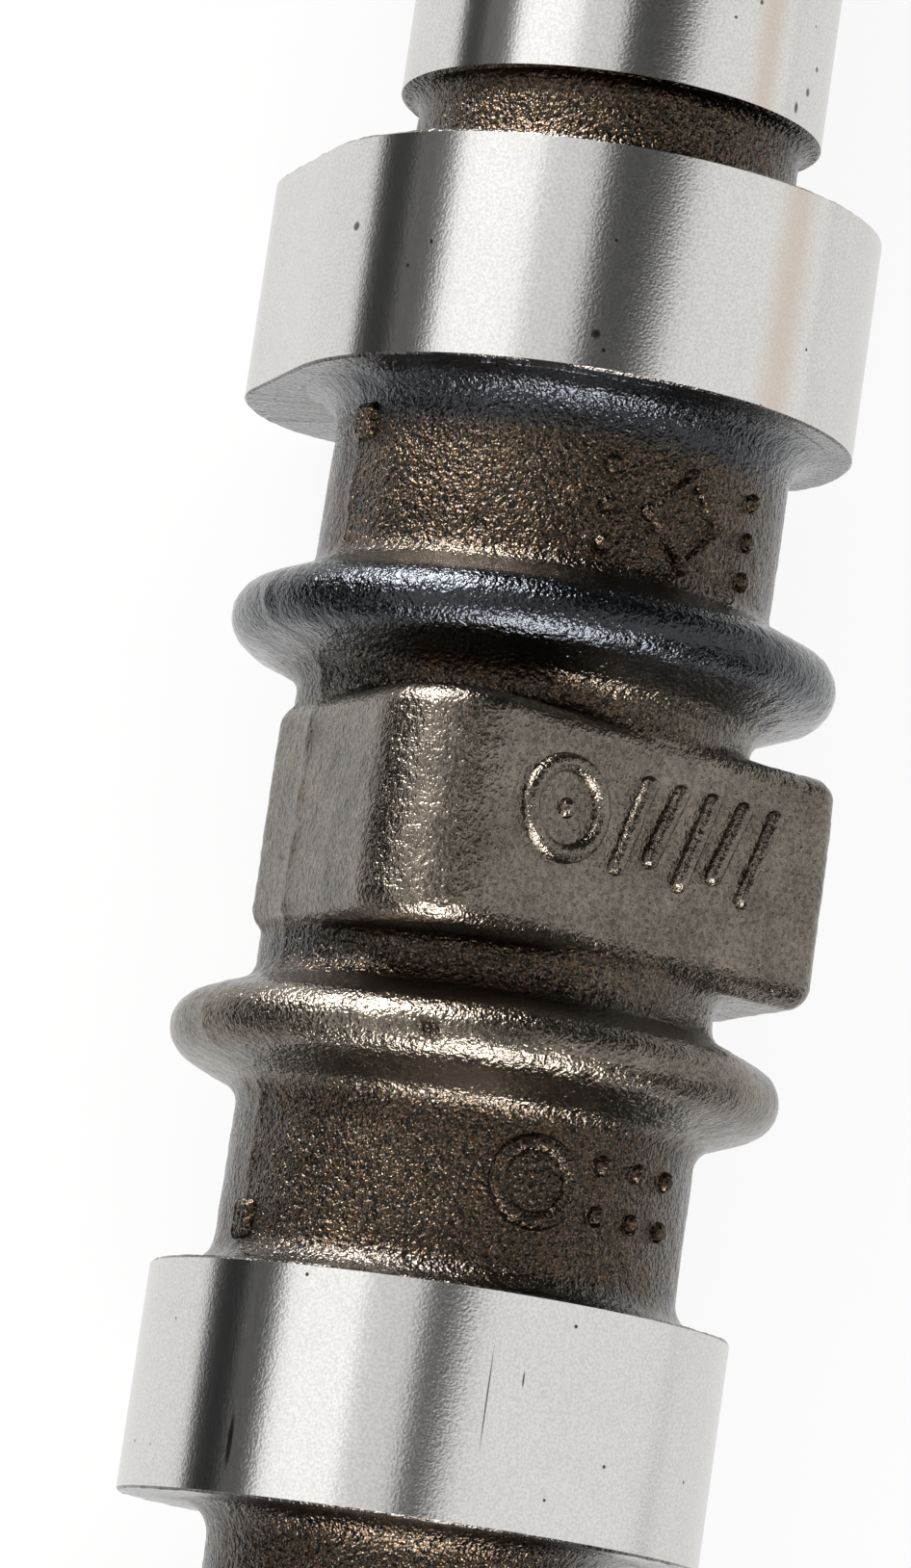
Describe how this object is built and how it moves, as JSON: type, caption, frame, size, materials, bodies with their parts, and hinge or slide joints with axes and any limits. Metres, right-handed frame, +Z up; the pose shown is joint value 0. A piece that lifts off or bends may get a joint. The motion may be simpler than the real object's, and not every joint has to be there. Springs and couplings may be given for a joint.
{
  "type": "camshaft",
  "caption": "One-piece cast-iron camshaft with ground journals and lobe pairs, as-cast barrels with guard rings and a faceted pad, and a flanged drive end.",
  "frame": {"origin": "on the shaft's axis, at the middle of the first cylinder's journal", "axes": "+X along the shaft's axis from the drive end to the rear end, +Z up with the shaft lying at rest, +Y to the side that completes a right-handed frame"},
  "size_m": [0.4399, 0.037, 0.037],
  "materials": {
    "cast_iron": "as cast between the ground lobes, journals and end faces"
  },
  "bodies": {
    "root": {"camshaft": "cast_iron"}
  },
  "joints": []
}
